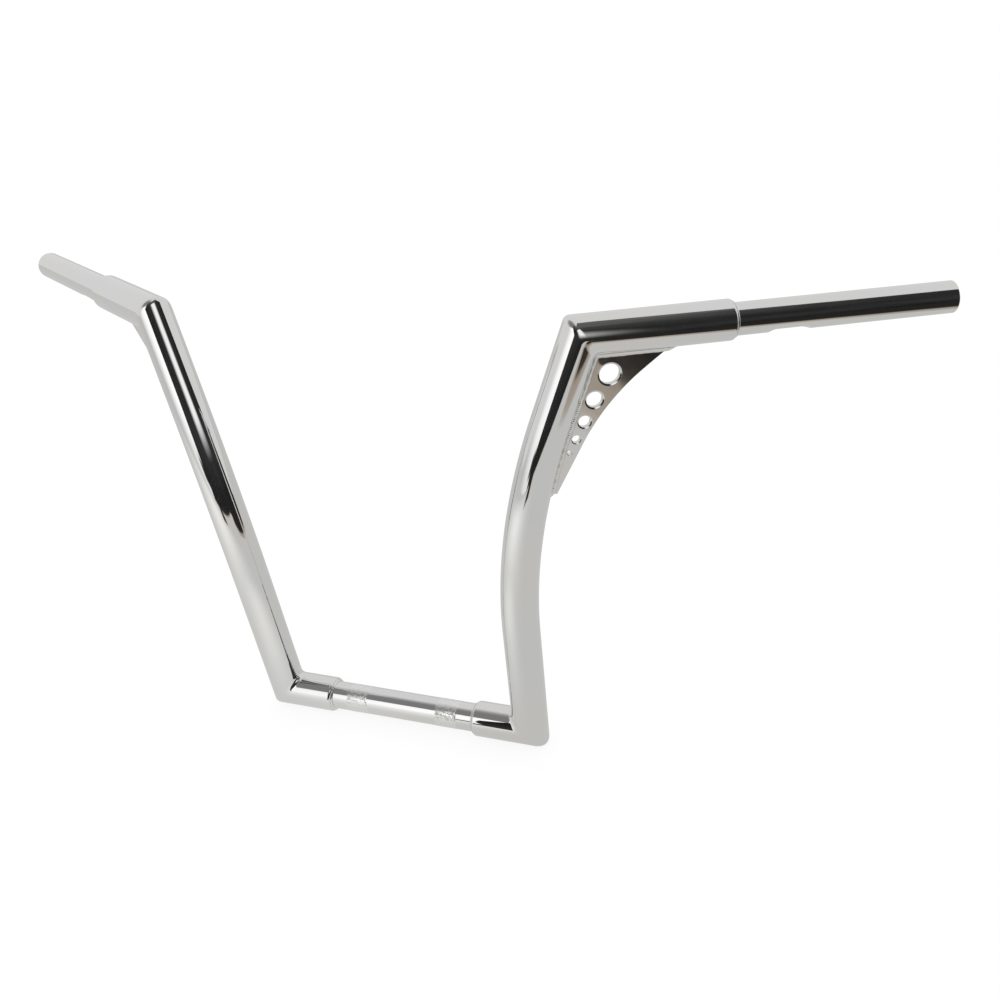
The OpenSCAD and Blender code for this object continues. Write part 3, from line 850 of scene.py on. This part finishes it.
def chrome_material(name, cool, warm, gloss, haze, waviness, grain, metal=1.0):
    """Plated metal: a tint that drifts, cloudy gloss, slow waves left by polishing and a fine grain."""
    material = bpy.data.materials.new(name)
    material.use_nodes = True
    tree = material.node_tree
    shader = tree.nodes["Principled BSDF"]
    place = add_node(tree, "ShaderNodeTexCoord").outputs["Object"]
    tint = add_node(tree, "ShaderNodeMix", data_type="RGBA")
    feed(tree, tint.inputs[0], ease(tree, noise(tree, place, 14), 0.35, 0.65))
    tint.inputs[6].default_value = (*cool, 1)
    tint.inputs[7].default_value = (*warm, 1)
    tree.links.new(tint.outputs[2], shader.inputs["Base Color"])
    shader.inputs["Metallic"].default_value = metal
    cloud = ease(tree, noise(tree, place, 45, 4, 0.6), 0.40, 0.72, gloss, haze)
    tree.links.new(cloud, shader.inputs["Roughness"])
    from_corner = add_node(tree, "ShaderNodeVectorMath", operation="DISTANCE")
    mirrored = add_node(tree, "ShaderNodeVectorMath", operation="ABSOLUTE")
    tree.links.new(place, mirrored.inputs[0])
    tree.links.new(mirrored.outputs[0], from_corner.inputs[0])
    from_corner.inputs[1].default_value = GROUND_SPOT
    ground = ease(tree, from_corner.outputs["Value"], 0.026, 0.010, 1.0, 5.0)
    waves = bump(tree, math_node(tree, "MULTIPLY", noise(tree, place, 70, 1), ground), waviness)
    tree.links.new(bump(tree, noise(tree, place, 1400, 3), grain, waves), shader.inputs["Normal"])
    return material


def dress():
    tube = chrome_material("chrome_tube", (0.795, 0.80, 0.80), (0.81, 0.80, 0.785), 0.03, 0.07, 1.6e-5, 2e-7)
    plate = chrome_material("chrome_plate", (0.77, 0.77, 0.76), (0.80, 0.78, 0.75), 0.04, 0.08, 6e-5, 1e-6)
    weld = chrome_material("chrome_weld", (0.80, 0.80, 0.79), (0.82, 0.80, 0.77), 0.14, 0.28, 6e-5, 6e-6)
    knurl = chrome_material("chrome_knurl", (0.83, 0.83, 0.82), (0.87, 0.86, 0.84), 0.11, 0.18, 1e-5, 1e-6, metal=0.97)
    return {"chrome_tube": tube, "chrome_plate": plate, "chrome_weld": weld, "chrome_knurl": knurl}


def place_piece(shell, node, materials, mirrored):
    piece = shell.build(node + "_surface", mirrored)
    for material in materials:
        piece.data.materials.append(material)
    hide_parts(node)
    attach(piece, "root")


def add_pieces():
    materials = dress()
    arm_skin, arm_mitre = straight_skin(UPPER_CORNER, ARM_DIR), Mitre(UPPER_CORNER, ARM_DIR, -TOP_DIR)
    stub_skin, stub_mitre = straight_skin(LOWER_CORNER, -X_AXIS), Mitre(LOWER_CORNER, -X_AXIS, FOOT_DIR)
    stub_run = LOWER_CORNER[0] - CLAMP_GAP / 2
    stub_mouth = LOWER_CORNER - stub_run * X_AXIS
    parts = [("riser", riser(), "chrome_tube"),
             ("arm", shouldered_tube(arm_skin, arm_mitre, ARM_RUN), "chrome_tube"),
             ("lower_stub", shouldered_tube(stub_skin, stub_mitre, stub_run), "chrome_tube"),
             ("grip_tube", grip_tube(), "chrome_tube"),
             ("gusset", gusset(), "chrome_plate"),
             ("gusset_weld", gusset_weld(), "chrome_weld"),
             ("grip_weld", weld_ring(straight_skin(ARM_END, ARM_DIR)), "chrome_weld"),
             ("stub_weld", weld_ring(straight_skin(stub_mouth, -X_AXIS)), "chrome_weld")]
    for name, shell, slot in parts:
        for side, mirrored in (("right_", False), ("left_", True)):
            place_piece(shell, side + name, [materials[slot]], mirrored)
    place_piece(clamp_tube(), "clamp_tube", [materials["chrome_tube"], materials["chrome_knurl"]], False)


bpy.context.scene.view_settings.view_transform = "Standard"
add_camera()
light_the_world()
add_floor()
add_cards()
add_pieces()
